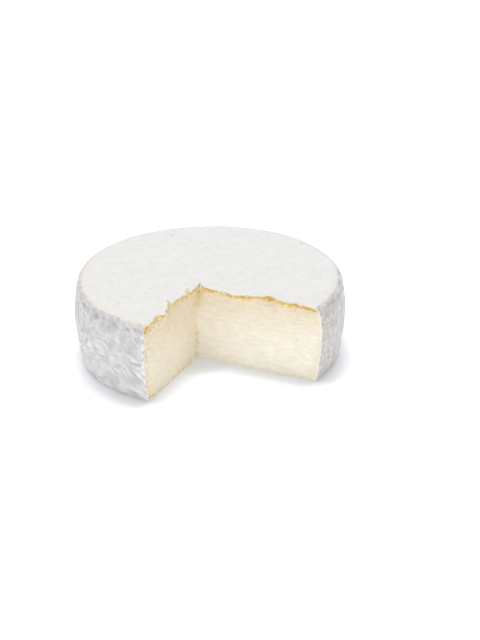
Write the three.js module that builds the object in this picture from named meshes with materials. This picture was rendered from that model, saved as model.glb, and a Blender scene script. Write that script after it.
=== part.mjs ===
// A soft-ripened cheese wheel with a bloomy white rind and a wedge cut out of it.
//
// Millimetres, +Z up. The origin is on the wheel's axis, on its flat base.
// The left cut wall runs from the notch's seam towards -Y, the right cut wall towards +X.
// The cheese is one closed surface: a stack of level rings from the base to the top, each ring
// an arc of rind and two cut walls, closed by a flat base and a gently uneven top.
import * as THREE from 'three';

// The wheel
const WHEEL_RADIUS = 65;
const WHEEL_HEIGHT = 38;
const BELLY_SHARE = 0.61; // height of the widest ring, as a share of the wheel's height
const TOP_TAPER = 0.034; // how far the side draws in at the top, as a share of the radius
const BASE_TAPER = 0.04; // the same at the base
const RIM_ROUNDING = 2.1; // radius of the rounded rim at the top
const RIM_VARIATION = 0.35; // share by which that rounding grows and shrinks round the rim
const RIM_WAVELENGTH = 11;
const BASE_ROUNDING = 1.2;

// The outline isn't a true circle: each lobe is a wave round it
const LOBES = [
  { waves: 2, height: 0.18, phase: 146 },
  { waves: 3, height: 0.26, phase: 38 },
  { waves: 4, height: 0.4, phase: 288 },
  { waves: 5, height: 0.18, phase: 126 },
  { waves: 6, height: 0.16, phase: 33 },
];

// The notch: where its two walls meet, and how each wall runs
const SEAM_X = 0.4;
const SEAM_Y = -14.2;
const LEFT_WALL_ANGLE = 270; // degrees from +X
const RIGHT_WALL_ANGLE = 1.2;
const SEAM_REACH = 1.6; // the walls are plain this near to the seam
const OVERRUN = 2.4; // how far the knife went past the seam at the top, along the left cut
const OVERRUN_LEAN = 0.12; // how far that cut leans towards +X, for each millimetre of it
const OVERRUN_DEPTH = 6.5; // how far down the overrun reaches
const OVERRUN_WIDTH = 2.6;

// Torn edges. Each nick moves the wall's top edge at a distance along the wall from the seam:
// out over the notch where its push is above 0, back into the cheese where it is below.
const LEFT_NICKS = [
  { at: 3, width: 4.5, push: 0.8 },
  { at: 9.2, width: 2.6, push: 1.1 },
  { at: 18, width: 3.6, push: -1.1 },
  { at: 24.3, width: 2.2, push: -1.9 },
  { at: 33.6, width: 2.2, push: 2.3 },
  { at: 37.4, width: 2.4, push: -1.8 },
  { at: 44, width: 4, push: -0.6 },
  { at: 48.4, width: 2.4, push: -1.7 },
];
const RIGHT_NICKS = [
  { at: 8.5, width: 4.6, push: 1.1 },
  { at: 19.6, width: 3, push: 1.5 },
  { at: 27.5, width: 3.5, push: 0.4 },
  { at: 36.4, width: 3.4, push: -2.3 },
  { at: 43, width: 2.6, push: -0.3 },
  { at: 49.4, width: 1.6, push: -1.5 },
  { at: 55, width: 3.4, push: -0.7 },
];
const NICK_REACH = 3.4; // how far below the top a nick has faded
const EDGE_TEAR = 0.45; // height of the small tears between the nicks
const TEAR_LENGTH = 3.1;

// The top dips where the knife pressed it down, and stands up where the rind was dragged
const TOP_SWELLS = [
  { x: 20, y: -13, width: 7, lift: -0.8 },
  { x: 37, y: -11, width: 7, lift: 0.7 },
  { x: 60, y: -8, width: 8, lift: -0.9 },
  { x: 0, y: -60, width: 4, lift: -0.5 },
  { x: -2, y: -36, width: 6, lift: -0.4 },
];
const TOP_WAVE = 0.45; // height of the slow undulation of the top
const TOP_WAVELENGTH = 34;

// A shallow scoop in the left wall, under the tear in the middle of its edge
const SCOOP = { at: 23, down: 5, length: 7, height: 6.5, depth: 1.1 };

// Relief of the rind's side: slow swells, and folds that swirl and fall towards the left cut
const SWELL_LENGTH = 13;
const SWELL_HEIGHT = 0.25;
const FOLD_LENGTH = 14;
const FOLD_PITCH = 5.6;
const FOLD_HEIGHT = 0.42;
const FOLD_RISE = 10; // how far the folds fall towards the left cut, most of it in their reach
const FOLD_REACH = 15;
const SWIRL_LENGTH = 9; // bends of the folds
const SWIRL = 3.2;
const RELIEF_RISE = 4; // height above the base by which the relief has reached its full strength
const RIM_RELIEF_LOSS = 0.6; // share of the relief that is lost over the rounded rim
const WALL_WAVE = 0.22; // unevenness of the cut walls
const WALL_WAVELENGTH = 9;

// How finely the surface is divided
const ARC_COLUMNS = 150;
const LEFT_COLUMNS = 26;
const RIGHT_COLUMNS = 31;
const BASE_RINGS = 2;
const SIDE_RINGS = 15;
const RIM_RINGS = 3;
const LENGTH_STEPS = 12;

// The rings of the top: steps inwards from its torn edge, then shares of the way to the hub
const TOP_STEPS = [1.6, 4];
const TOP_SHARES = [0.86, 0.64, 0.34];
const SMOOTHING = 9; // how far the inward directions are evened out along the edge
const RAG_REACH = 6; // how far in from its edge the top still follows the torn outline
const HUB_X = -20; // where the rings of the top and the base close, behind the seam
const HUB_Y = 16;

const radians = THREE.MathUtils.degToRad;
const LEFT_CUT = radians(LEFT_WALL_ANGLE);
const bell = (distance, width) => Math.exp(-((distance / width) ** 2));

// A repeatable whole number for a lattice point.
function lattice(i, j, k) {
  let h = (Math.imul(i, 374761393) + Math.imul(j, 668265263) + Math.imul(k, 1440662683)) | 0;
  h = Math.imul(h ^ (h >>> 13), 1274126177);
  return (h ^ (h >>> 16)) >>> 0;
}

// The slope that a lattice point gives the noise round it, one of twelve directions.
function slope(h, x, y, z) {
  const pick = h % 12;
  const a = pick < 8 ? x : y;
  const b = pick < 4 ? y : z;
  return (pick & 1 ? -a : a) + (pick & 2 ? -b : b);
}

// Smooth gradient noise, from about -1 to 1, with a period of about one unit. Where only two
// coordinates vary, the third one sets one pattern apart from another.
function noise(x, y, z) {
  const [i, j, k] = [Math.floor(x), Math.floor(y), Math.floor(z)];
  const [u, v, w] = [x - i, y - j, z - k];
  const ease = (t) => t * t * t * (t * (t * 6 - 15) + 10);
  const [eu, ev, ew] = [ease(u), ease(v), ease(w)];
  let sum = 0;
  for (const di of [0, 1]) {
    for (const dj of [0, 1]) {
      for (const dk of [0, 1]) {
        const share = (di ? eu : 1 - eu) * (dj ? ev : 1 - ev) * (dk ? ew : 1 - ew);
        sum += share * slope(lattice(i + di, j + dj, k + dk), u - di, v - dj, w - dk);
      }
    }
  }
  return sum;
}

// Radius of the wheel's smooth outline at an angle, as a factor.
function lobeFactor(angle) {
  let lift = 0;
  for (const lobe of LOBES) {
    lift += lobe.height * Math.cos(lobe.waves * angle - radians(lobe.phase));
  }
  return 1 + lift / WHEEL_RADIUS;
}

// The barrel's side: its radius at a height, before the rim and the base are rounded.
function barrelRadius(z) {
  const belly = BELLY_SHARE * WHEEL_HEIGHT;
  const above = (z - belly) / (WHEEL_HEIGHT - belly);
  const below = (belly - z) / belly;
  return WHEEL_RADIUS * (z > belly ? 1 - TOP_TAPER * above ** 2 : 1 - BASE_TAPER * below ** 2);
}

// Relief of the rind's side at an angle and a height, outwards.
function rindRelief(angle, z) {
  const along = WHEEL_RADIUS * (LEFT_CUT - angle); // arc length round from the left cut
  const a = along / SWIRL_LENGTH;
  const c = z / SWIRL_LENGTH;
  // Distances along and across the folds
  const length = along + SWIRL * noise(a, c, 7.3);
  const fall = FOLD_RISE * (1 - Math.exp(-along / FOLD_REACH));
  const across = z - fall + SWIRL * noise(a, c, 31.7);
  const fold = noise(length / FOLD_LENGTH, across / FOLD_PITCH, 12.5);
  const swell = noise(along / SWELL_LENGTH, z / SWELL_LENGTH, 11.9);
  return SWELL_HEIGHT * swell + FOLD_HEIGHT * fold;
}

// Lift of the top at a point of it.
function topLift(x, y) {
  let lift = TOP_WAVE * noise(x / TOP_WAVELENGTH + 4.4, y / TOP_WAVELENGTH + 1.7, 0.5);
  for (const swell of TOP_SWELLS) {
    lift += swell.lift * bell(Math.hypot(x - swell.x, y - swell.y), swell.width);
  }
  return lift;
}

// How much of the top's lift a point at a height takes: all at the top, none at the base.
const liftShare = (z) => Math.min(1, Math.max(0, z / WHEEL_HEIGHT)) ** 4;

// Heights of the rings, each with how far the rounding draws it in.
function ringLevels() {
  const levels = [];
  for (let i = 0; i < BASE_RINGS; i++) {
    const a = ((i / BASE_RINGS) * Math.PI) / 2;
    levels.push({
      z: BASE_ROUNDING * (1 - Math.cos(a)),
      inset: BASE_ROUNDING * (1 - Math.sin(a)),
      rim: 0,
    });
  }
  const low = BASE_ROUNDING;
  const high = WHEEL_HEIGHT - RIM_ROUNDING;
  for (let i = 0; i <= SIDE_RINGS; i++) {
    levels.push({ z: low + ((high - low) * i) / SIDE_RINGS, inset: 0, rim: 0 });
  }
  for (let i = 1; i <= RIM_RINGS; i++) {
    const a = ((i / RIM_RINGS) * Math.PI) / 2;
    const z = high + RIM_ROUNDING * Math.sin(a);
    levels.push({ z, inset: 0, rim: RIM_ROUNDING * (1 - Math.cos(a)) });
  }
  return levels;
}

// Distance from the axis to the rind without its relief, at an angle and a level.
function smoothRadius(angle, level) {
  const radius = barrelRadius(level.z) * lobeFactor(angle);
  const x = radius * Math.cos(angle);
  const y = radius * Math.sin(angle);
  const uneven = 1 + RIM_VARIATION * noise(x / RIM_WAVELENGTH, y / RIM_WAVELENGTH, 3.5);
  return radius - level.inset - level.rim * uneven;
}

// Distance from the axis to the rind, at an angle and a level.
function rindRadius(angle, level) {
  const over = level.rim / RIM_ROUNDING; // how far over the rounded rim the level is
  const fade = Math.min(1, level.z / RELIEF_RISE) * (1 - RIM_RELIEF_LOSS * over);
  return smoothRadius(angle, level) + fade * rindRelief(angle, level.z);
}

// How far a wall stands out over the notch, at a distance from the seam and a height.
function wallPush(wall, along, z) {
  const down = WHEEL_HEIGHT - z;
  let push = 0;
  for (const nick of wall.nicks) {
    push += nick.push * bell(along - nick.at, nick.width);
  }
  const tear = EDGE_TEAR * noise(along / TEAR_LENGTH, wall.seed, 0.5);
  push = (push + tear) * bell(down, NICK_REACH);
  push += WALL_WAVE * noise(along / WALL_WAVELENGTH, wall.seed + 2.7, z / WALL_WAVELENGTH);
  if (wall.scoop) {
    const side = bell(along - wall.scoop.at, wall.scoop.length);
    push -= wall.scoop.depth * side * bell(down - wall.scoop.down, wall.scoop.height);
  }
  return push * (1 - bell(along, SEAM_REACH));
}

// A cut wall: the way it runs from the seam, and the side of it that faces the notch.
function cutWall(degrees, notchSide, nicks, seed, scoop) {
  const angle = radians(degrees);
  const run = [Math.cos(angle), Math.sin(angle)];
  const facing = [-notchSide * run[1], notchSide * run[0]];
  return { run, facing, nicks, seed, scoop };
}

const leftWall = cutWall(LEFT_WALL_ANGLE, 1, LEFT_NICKS, 8.5, SCOOP);
const rightWall = cutWall(RIGHT_WALL_ANGLE, -1, RIGHT_NICKS, 21.5, null);

// A point of a cut wall, with its place on the wall's plain line.
function wallPoint(wall, along, z) {
  const push = wallPush(wall, along, z);
  const overrun = OVERRUN * bell(WHEEL_HEIGHT - z, OVERRUN_DEPTH) * bell(along, OVERRUN_WIDTH);
  const plainX = SEAM_X + wall.run[0] * along;
  const plainY = SEAM_Y + wall.run[1] * along;
  const x = plainX + wall.facing[0] * push + OVERRUN_LEAN * overrun;
  const y = plainY + wall.facing[1] * push + overrun;
  return { x, y, plainX, plainY };
}

// A point of the rind, with its place on the rind without relief.
function rindPoint(angle, level) {
  const radius = rindRadius(angle, level);
  const plain = smoothRadius(angle, level);
  const [cos, sin] = [Math.cos(angle), Math.sin(angle)];
  return { x: radius * cos, y: radius * sin, plainX: plain * cos, plainY: plain * sin };
}

// The angle of a point, from just under 0 at the right cut round to 270 degrees at the left one.
function roundAngle({ x, y }) {
  const angle = Math.atan2(y, x);
  return angle < -Math.PI / 4 ? angle + 2 * Math.PI : angle;
}

// How long a wall is at a level: to where it meets the rind, found by steps towards it.
function wallLength(wall, level) {
  let length = WHEEL_RADIUS + SEAM_Y;
  for (let i = 0; i < LENGTH_STEPS; i++) {
    const point = wallPoint(wall, length, level.z);
    length += rindRadius(roundAngle(point), level) - Math.hypot(point.x, point.y);
  }
  return length;
}

// One level ring, counter-clockwise from above: the rind, the left wall, then the right wall.
function ringOutline(level) {
  const leftLength = wallLength(leftWall, level);
  const rightLength = wallLength(rightWall, level);
  const start = roundAngle(wallPoint(rightWall, rightLength, level.z));
  const end = roundAngle(wallPoint(leftWall, leftLength, level.z));
  const points = [];
  for (let i = 0; i < ARC_COLUMNS; i++) {
    points.push(rindPoint(start + ((end - start) * i) / ARC_COLUMNS, level));
  }
  for (let i = 0; i < LEFT_COLUMNS; i++) {
    points.push(wallPoint(leftWall, leftLength * (1 - i / LEFT_COLUMNS), level.z));
  }
  for (let i = 0; i < RIGHT_COLUMNS; i++) {
    points.push(wallPoint(rightWall, rightLength * (i / RIGHT_COLUMNS), level.z));
  }
  return points;
}

// Unit vectors from the top's plain outline to its inside, evened out along it.
function inwardDirections(edge) {
  return edge.map((here) => {
    let [nx, ny] = [0, 0];
    edge.forEach((there, i) => {
      const before = edge.at(i - 1);
      const after = edge[(i + 1) % edge.length];
      const distance = Math.hypot(here.plainX - there.plainX, here.plainY - there.plainY);
      nx -= bell(distance, SMOOTHING) * (after.plainY - before.plainY);
      ny += bell(distance, SMOOTHING) * (after.plainX - before.plainX);
    });
    const size = Math.hypot(nx, ny);
    return [nx / size, ny / size];
  });
}

// The rings of the top inside its edge, each a list of points.
function topRings(edge) {
  const inward = inwardDirections(edge);
  const rings = TOP_STEPS.map((step) => {
    const torn = 1 - THREE.MathUtils.smoothstep(step, 0, RAG_REACH);
    return edge.map(({ x, y, plainX, plainY }, i) => [
      plainX + step * inward[i][0] + torn * (x - plainX),
      plainY + step * inward[i][1] + torn * (y - plainY),
    ]);
  });
  const last = rings.at(-1);
  for (const share of TOP_SHARES) {
    rings.push(last.map(([x, y]) => [HUB_X + share * (x - HUB_X), HUB_Y + share * (y - HUB_Y)]));
  }
  return rings;
}

// The whole cheese: rings joined in order, with a fan at the base and one at the top.
function cheeseGeometry() {
  const positions = [];
  const faces = [];
  const columns = ARC_COLUMNS + LEFT_COLUMNS + RIGHT_COLUMNS;
  let edge;
  for (const level of ringLevels()) {
    edge = ringOutline(level);
    for (const { x, y } of edge) {
      positions.push(x, y, level.z + liftShare(level.z) * topLift(x, y));
    }
  }
  for (const [x, y] of topRings(edge).flat()) {
    positions.push(x, y, WHEEL_HEIGHT + topLift(x, y));
  }
  const rings = positions.length / 3 / columns;
  for (let ring = 0; ring + 1 < rings; ring++) {
    for (let column = 0; column < columns; column++) {
      const a = ring * columns + column;
      const b = ring * columns + ((column + 1) % columns);
      faces.push(a, b, b + columns, a, b + columns, a + columns);
    }
  }
  const base = positions.length / 3;
  positions.push(HUB_X, HUB_Y, 0);
  positions.push(HUB_X, HUB_Y, WHEEL_HEIGHT + topLift(HUB_X, HUB_Y));
  const last = (rings - 1) * columns;
  for (let column = 0; column < columns; column++) {
    const next = (column + 1) % columns;
    faces.push(base, next, column);
    faces.push(base + 1, last + column, last + next);
  }
  const geometry = new THREE.BufferGeometry();
  geometry.setAttribute('position', new THREE.Float32BufferAttribute(positions, 3));
  geometry.setIndex(faces);
  geometry.computeVertexNormals();
  return geometry;
}

const rindMaterial = new THREE.MeshStandardMaterial({
  color: 0xf0eee8,
  roughness: 0.9,
  metalness: 0,
});

const group = new THREE.Group();
const wheel = new THREE.Mesh(cheeseGeometry(), rindMaterial);
wheel.name = 'cheese_wheel';
group.add(wheel);

export default group;
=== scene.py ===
"""The looks of the cut cheese wheel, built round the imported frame.

Shapes are worked out in millimetres by the same rules as the frame's solid, and finished finer:
wrinkles of the rind, torn cut edges, knife marks, flakes and crumbs. Meshes are written in
metres.
"""
from itertools import product

import bmesh
import bpy
import numpy as np
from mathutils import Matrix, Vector
from mathutils.geometry import delaunay_2d_cdt


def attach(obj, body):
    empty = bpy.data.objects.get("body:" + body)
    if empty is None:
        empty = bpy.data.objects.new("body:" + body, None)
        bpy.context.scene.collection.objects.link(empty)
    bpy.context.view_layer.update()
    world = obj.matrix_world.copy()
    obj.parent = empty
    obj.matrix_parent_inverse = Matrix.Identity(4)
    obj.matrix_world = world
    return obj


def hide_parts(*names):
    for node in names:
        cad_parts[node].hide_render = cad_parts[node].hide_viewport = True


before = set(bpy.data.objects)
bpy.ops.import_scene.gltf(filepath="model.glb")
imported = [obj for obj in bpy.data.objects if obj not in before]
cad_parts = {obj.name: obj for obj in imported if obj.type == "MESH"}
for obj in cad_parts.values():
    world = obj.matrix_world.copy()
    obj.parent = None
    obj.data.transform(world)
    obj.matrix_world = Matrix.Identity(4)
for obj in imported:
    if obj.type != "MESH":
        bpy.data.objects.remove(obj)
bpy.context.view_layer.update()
CAD_NODE = "cheese_wheel"
BODY = "root"
MM = 0.001

# ---- Driving dimensions, in millimetres and degrees, the same as the solid's ----
WHEEL_RADIUS = 65
WHEEL_HEIGHT = 38
BELLY_SHARE = 0.61  # height of the widest ring, as a share of the height
TOP_TAPER = 0.034  # how much narrower the top is than that ring, and the base, as shares
BASE_TAPER = 0.04
RIM_ROUNDING = 2.1
RIM_VARIATION = 0.35
BASE_ROUNDING = 1.2
# Lobes of the outline: how many go round, height, and phase in degrees
LOBES = [(2, 0.18, 146), (3, 0.26, 38), (4, 0.4, 288), (5, 0.18, 126), (6, 0.16, 33)]

SEAM = (0.4, -14.2)
LEFT_WALL_ANGLE = 270
RIGHT_WALL_ANGLE = 1.2
OVERRUN = 2.4  # how far the cut runs on past the seam at the top, its depth and width
OVERRUN_DEPTH = 6.5
OVERRUN_WIDTH = 2.6

# Nicks of the walls' top edges: distance from the seam, width, push over the notch
LEFT_NICKS = [
    (3, 4.5, 0.8),
    (9.2, 2.6, 1.1),
    (18, 3.6, -1.1),
    (24.3, 2.2, -1.9),
    (33.6, 2.2, 2.3),
    (37.4, 2.4, -1.8),
    (44, 4, -0.6),
    (48.4, 2.4, -1.7),
]
RIGHT_NICKS = [
    (8.5, 4.6, 1.1),
    (19.6, 3, 1.5),
    (27.5, 3.5, 0.4),
    (36.4, 3.4, -2.3),
    (43, 2.6, -0.3),
    (49.4, 1.6, -1.5),
    (55, 3.4, -0.7),
]
NICK_REACH = 3.4
EDGE_TEAR = 0.45  # finer tears of the top edges
TEAR_LENGTH = 3.1
# Swells of the top: x, y, width, lift
TOP_SWELLS = [
    (20, -13, 7, -0.8),
    (37, -11, 7, 0.7),
    (60, -8, 8, -0.9),
    (0, -60, 4, -0.5),
    (-2, -36, 6, -0.4),
]
TOP_WAVE = 0.45
TOP_WAVELENGTH = 34
# Scoop in the left wall: distance from the seam, depth below the top, length, height, depth
SCOOP = (23, 5, 7, 6.5, 1.1)

SWELL_LENGTH = 13  # slow swells of the rind's side, and their height
SWELL_HEIGHT = 0.25
FOLD_LENGTH = 14  # folds of the rind's side
FOLD_PITCH = 5.6
FOLD_HEIGHT = 0.42
FOLD_RISE = 10  # how far the folds fall towards the left cut, most of it within their reach
FOLD_REACH = 15
SWIRL_LENGTH = 9  # bends of the folds
SWIRL = 3.2
WALL_WAVE = 0.22  # waves of the cut walls
WALL_WAVELENGTH = 9
SMOOTHING = 9  # how far the top's inward directions are evened out along its edge
RAG_REACH = 6  # how far in from its edge the top still follows the torn outline

# What only this script adds
FAR_IN = 20.0  # what counts as far in from an edge
LENGTH_GUESS = 50.0  # first guess of a wall's length, and how often it is bettered
LENGTH_STEPS = 14
WRINKLE_PITCH = 2.9  # wrinkles of the mould's skin, side by side, with thin creases between them
WRINKLE_HEIGHT = 0.36
WRINKLE_RUN = 5  # how far a wrinkle runs before it breaks off
WANDER = 1.1  # how many wrinkles' width they wander, over the run below
WANDER_RUN = 7
CREASE_SHARE = 0.27  # half width of a crease, as a share of the pitch
HATCH_RUN = 3.4  # the finest wrinkles, which the material adds as bumps, with painted shade in their creases and a painted highlight on their crests
HATCH_PITCH = 1.6
# Single folds near the left cut: start and end, each as distance from the cut and height, then
# half width and height of the fold
CRINKLES = [
    ((10, 37), (3, 31.4), 0.7, 0.4),
    ((17, 36.4), (11, 33.6), 0.7, 0.3),
    ((10.6, 24.3), (4, 20.6), 0.9, 0.4),
    ((16, 30.5), (12, 28), 0.9, 0.3),
    ((7, 15.2), (2.5, 13), 0.7, 0.35),
    ((17.5, 10.2), (14, 8.8), 0.6, 0.4),
    ((11, 8.6), (8, 7.2), 0.6, 0.4),
    ((30, 23), (24, 19.6), 0.8, 0.3),
    ((24, 19.6), (25.5, 14), 0.8, 0.3),
]
UPRIGHT_REACH = 34  # the wrinkles stand upright this near to the right cut
# Creases under the rim, also painted darker through the relief, as shade: depth, distance below
# the top, height
UNDERCUT = (0.14, 2.4, 0.8)
# A hollow band under the rim, also painted darker, as shade: distance from the left cut, length,
# height, width, depth
BAND = (25, 12, 35.9, 2.2, 0.1)
SHADE_REACH_BY_RIGHT_CUT = 26  # the rind is painted darker and a faint tan this near to the right cut, as shade
SHADE_DIP_BY_RIGHT_CUT = 0.1
# A tan blemish: distance from the left cut, height, half width, half height, and its slant
BLEMISH = (21, 18, 1.1, 3.4, 0.2)
EDGE_BEAD = 0.55  # white beads of the rind along its cut edges
EDGE_BEAD_LENGTH = 2.5
MAT_PITCH = 3.6  # imprint of the draining mat on the top
MAT_HEIGHT = 0.11
FUZZ_LENGTH = 1.3
FUZZ_HEIGHT = 0.05
RAG_LENGTH = 1.1  # finest tears of the walls' top edges
RAG_HEIGHT = 0.4
LIP = 0.14  # how far the rind's cut edge stands proud of the wall
GROOVE = 0.2  # how far the golden line is torn out
STROKE_LENGTH = 8  # knife strokes, weaker on the left wall
STROKE_PITCH = 1.5
STROKE_HEIGHT = 0.15
CURD_HEIGHT = 0.09
PIT_SIZE = 3.4  # small holes in the paste

# The rind cut through: white skin, then a golden line, at a wall's top, outer edge and base:
# skin thickness, width of the golden line, its strength, how much of it is missing, and how far
# the skin swells into beads
LEFT_TOP_EDGE = (0.1, 1.6, 1.05, -0.1, 0.2)
RIGHT_TOP_EDGE = (0.1, 1.8, 1.25, -0.1, 0.2)
OUTER_EDGE = (0.8, 1.0, 0.45, 0.6, 1.0)
BASE_EDGE = (0.5, 1.1, 0.38, 0.35, 0.5)
SPECKLE_SIZE = 0.9  # golden speckles under the top edge
LEFT_PAINTED_SHADE = 0.5  # the left wall's paste is painted darker, in the riper colour, as shade

# ---- Repeatable noise ----


def lattice(i, j, k):
    """A repeatable whole number for each lattice point."""
    i, j, k = (np.asarray(v).astype(np.int64).astype(np.uint32) for v in (i, j, k))
    h = i * np.uint32(374761393) + j * np.uint32(668265263) + k * np.uint32(1440662683)
    h = (h ^ (h >> np.uint32(13))) * np.uint32(1274126177)
    return h ^ (h >> np.uint32(16))


def slope(h, x, y, z):
    """The slope that a lattice point gives the noise round it."""
    pick = h % np.uint32(12)
    a = np.where(pick < 8, x, y)
    b = np.where(pick < 4, y, z)
    return np.where(pick & 1, -a, a) + np.where(pick & 2, -b, b)


def noise(x, y, z):
    """Smooth gradient noise, from about -1 to 1, with a period of about one unit."""
    x, y, z = np.broadcast_arrays(*(np.asarray(v, float) for v in (x, y, z)))
    i, j, k = np.floor(x), np.floor(y), np.floor(z)
    u, v, w = x - i, y - j, z - k
    eu, ev, ew = (t * t * t * (t * (t * 6 - 15) + 10) for t in (u, v, w))
    total = np.zeros(x.shape)
    for di, dj, dk in product((0, 1), repeat=3):
        share = (eu if di else 1 - eu) * (ev if dj else 1 - ev) * (ew if dk else 1 - ew)
        corner = lattice(i + di, j + dj, k + dk)
        total += share * slope(corner, u - di, v - dj, w - dk)
    return total


def cell_border(x, y, z):
    """How much farther the second nearest cell centre is than the nearest: 0 on the creases."""
    x, y, z = np.broadcast_arrays(*(np.asarray(v, float) for v in (x, y, z)))
    i, j, k = np.floor(x), np.floor(y), np.floor(z)
    nearest = np.full(x.shape, np.inf)
    second = np.full(x.shape, np.inf)
    for di, dj, dk in product((-1, 0, 1), repeat=3):
        h = lattice(i + di, j + dj, k + dk)
        cx = i + di + (h & np.uint32(1023)) / 1023
        cy = j + dj + ((h >> np.uint32(10)) & np.uint32(1023)) / 1023
        cz = k + dk + ((h >> np.uint32(20)) & np.uint32(1023)) / 1023
        distance = np.sqrt((cx - x) ** 2 + (cy - y) ** 2 + (cz - z) ** 2)
        second = np.minimum(second, np.maximum(nearest, distance))
        nearest = np.minimum(nearest, distance)
    return second - nearest


def bell(distance, width):
    """1 at no distance, falling off smoothly over about the width."""
    return np.exp(-((distance / width) ** 2))


def ramp(value, low, high):
    """0 below low, 1 above high, smooth between."""
    t = np.clip((value - low) / (high - low), 0, 1)
    return t * t * (3 - 2 * t)


# ---- The rind ----
LEFT_CUT = np.radians(LEFT_WALL_ANGLE)
RIGHT_CUT = np.arcsin(SEAM[1] / WHEEL_RADIUS)


def lobe_factor(angle):
    lift = sum(h * np.cos(n * angle - np.radians(phase)) for n, h, phase in LOBES)
    return 1 + lift / WHEEL_RADIUS


def barrel_radius(z):
    belly = BELLY_SHARE * WHEEL_HEIGHT
    above = (z - belly) / (WHEEL_HEIGHT - belly)
    below = (belly - z) / belly
    return WHEEL_RADIUS * np.where(z > belly, 1 - TOP_TAPER * above**2, 1 - BASE_TAPER * below**2)


def from_left_cut(angle):
    return WHEEL_RADIUS * (LEFT_CUT - angle)


def bent(along, z):
    """Distances along and across the folds, which swirl, and fall towards the left cut."""
    a, c = along / SWIRL_LENGTH, z / SWIRL_LENGTH
    across = z - FOLD_RISE * (1 - np.exp(-along / FOLD_REACH))
    return along + SWIRL * noise(a, c, 7.3), across + SWIRL * noise(a, c, 31.7)


def rind_relief(angle, z):
    """Relief of the rind's side, outwards, as the solid has it."""
    along = from_left_cut(angle)
    length, across = bent(along, z)
    fold = noise(length / FOLD_LENGTH, across / FOLD_PITCH, 12.5)
    swell = noise(along / SWELL_LENGTH, z / SWELL_LENGTH, 11.9)
    return SWELL_HEIGHT * swell + FOLD_HEIGHT * fold


def creased(length, across, seed):
    """Wrinkles side by side, which wander and break off: -1 in the creases, 1 on the crests."""
    row = across / WRINKLE_PITCH
    row = row + WANDER * noise(length / WANDER_RUN, across / WANDER_RUN, seed)
    from_crease = 0.5 - np.abs(row - np.floor(row) - 0.5)
    crease = np.maximum(0, 1 - from_crease / CREASE_SHARE) ** 1.5
    crest = bell(from_crease - 0.5, 0.24)
    run = length / WRINKLE_RUN
    crease = crease * ramp(noise(run, row, seed + 9.2), -0.25, 0.2)
    crest = crest * ramp(noise(run, row + 0.5, seed + 17.7), -0.1, 0.35)
    return crest - crease


def crinkles(along, z):
    """The single folds by the left cut, each with a crease under it."""
    total = 0
    bend = 1.2 * noise(along / 3.1, z / 3.1, 91.7)
    for (a0, z0), (a1, z1), width, height in CRINKLES:
        run = np.array([a1 - a0, z1 - z0])
        size = np.hypot(*run)
        ahead = ((along - a0) * run[0] + (z - z0) * run[1]) / size
        above = ((along - a0) * run[1] - (z - z0) * run[0]) / size + bend
        beyond = np.maximum(0, np.abs(ahead - size / 2) - size / 2)
        ridge = bell(above, width) - 0.9 * bell(above + 1.6 * width, 0.8 * width)
        total = total + height * ridge * bell(beyond, 1.2)
    return total


def wrinkles(angle, z):
    """The skin's wrinkles, from about -0.8 in the creases to 0.6 on the crests."""
    along = from_left_cut(angle)
    from_right = WHEEL_RADIUS * (angle - RIGHT_CUT)
    length, across = bent(along, z)
    level = creased(length, across, 5.9)
    upright = 0.45 * creased(across, length, 25.9)
    lines = 0.62 * (level + bell(from_right, UPRIGHT_REACH) * (upright - level))
    lines = lines * (0.35 + 0.65 * ramp(noise(along / 9, z / 9, 23.1), -0.35, 0.3))
    lines = lines + 0.75 * crinkles(along, z)
    depth, down, height = UNDERCUT
    wander = 0.9 * noise(along / 6, 9.1, 37.3)
    under_rim = bell(WHEEL_HEIGHT - z - down - wander, height)
    under_rim = depth * under_rim * ramp(noise(along / 5, z / 5, 61.3), -0.25, 0.25)
    at, reach, middle, width, depth = BAND
    band = depth * bell(along - at, reach) * bell(z - middle, width)
    # A shallow dip by the right cut, also painted darker through the relief, as shade
    dark = SHADE_DIP_BY_RIGHT_CUT * bell(from_right - 8, SHADE_REACH_BY_RIGHT_CUT)
    # The relief also sets the painted shade of the creases, under the rim, in the band and by the
    # right cut
    return lines - (under_rim + band + dark) / WRINKLE_HEIGHT


def edge_beads(angle, z):
    """White beads along the rind's cut edges, from 0 to about 1."""
    from_cut = np.minimum(from_left_cut(angle), WHEEL_RADIUS * (angle - RIGHT_CUT))
    lumps = noise(z / EDGE_BEAD_LENGTH, from_cut / 2.5, 71.1)
    lumps = lumps + 0.5 * noise(z / 1.3, from_cut / 1.3, 75.1)
    reach = 1.1 + 0.9 * noise(z / 4.1, 3.3, 77.7)
    return np.clip(0.45 + 1.3 * lumps, 0, 1.2) * bell(np.maximum(from_cut - 0.1, 0), reach)


def fine_relief(angle, z):
    """The wrinkles, the beads of the cut edges, and the fuzz, outwards."""
    along = from_left_cut(angle)
    fuzz = FUZZ_HEIGHT * noise(along / FUZZ_LENGTH, z / FUZZ_LENGTH, 8.1)
    return WRINKLE_HEIGHT * wrinkles(angle, z) + EDGE_BEAD * edge_beads(angle, z) + fuzz


def top_lift(x, y):
    lift = TOP_WAVE * noise(x / TOP_WAVELENGTH + 4.4, y / TOP_WAVELENGTH + 1.7, 0.5)
    for sx, sy, width, height in TOP_SWELLS:
        lift = lift + height * bell(np.hypot(x - sx, y - sy), width)
    return lift


def top_texture(x, y):
    """The faint imprint of the mat, stronger in some places, and the fuzz of the mould."""
    bend = 1.1 * noise(x / 12, y / 12, 8.5)
    rows = np.cos(2 * np.pi * (x + bend) / MAT_PITCH) + np.cos(2 * np.pi * (y + bend) / MAT_PITCH)
    clear = 0.25 + 0.75 * ramp(noise(x / 22 + 1.3, y / 22, 2.5), -0.3, 0.4)
    lumps = noise(x / 3.2, y / 3.2, 5.5)
    return MAT_HEIGHT * clear * (0.45 * rows + 0.9 * lumps)


def lift_share(z):
    """How much of the top's swells a level follows."""
    return np.clip(z / WHEEL_HEIGHT, 0, 1) ** 4


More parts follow.
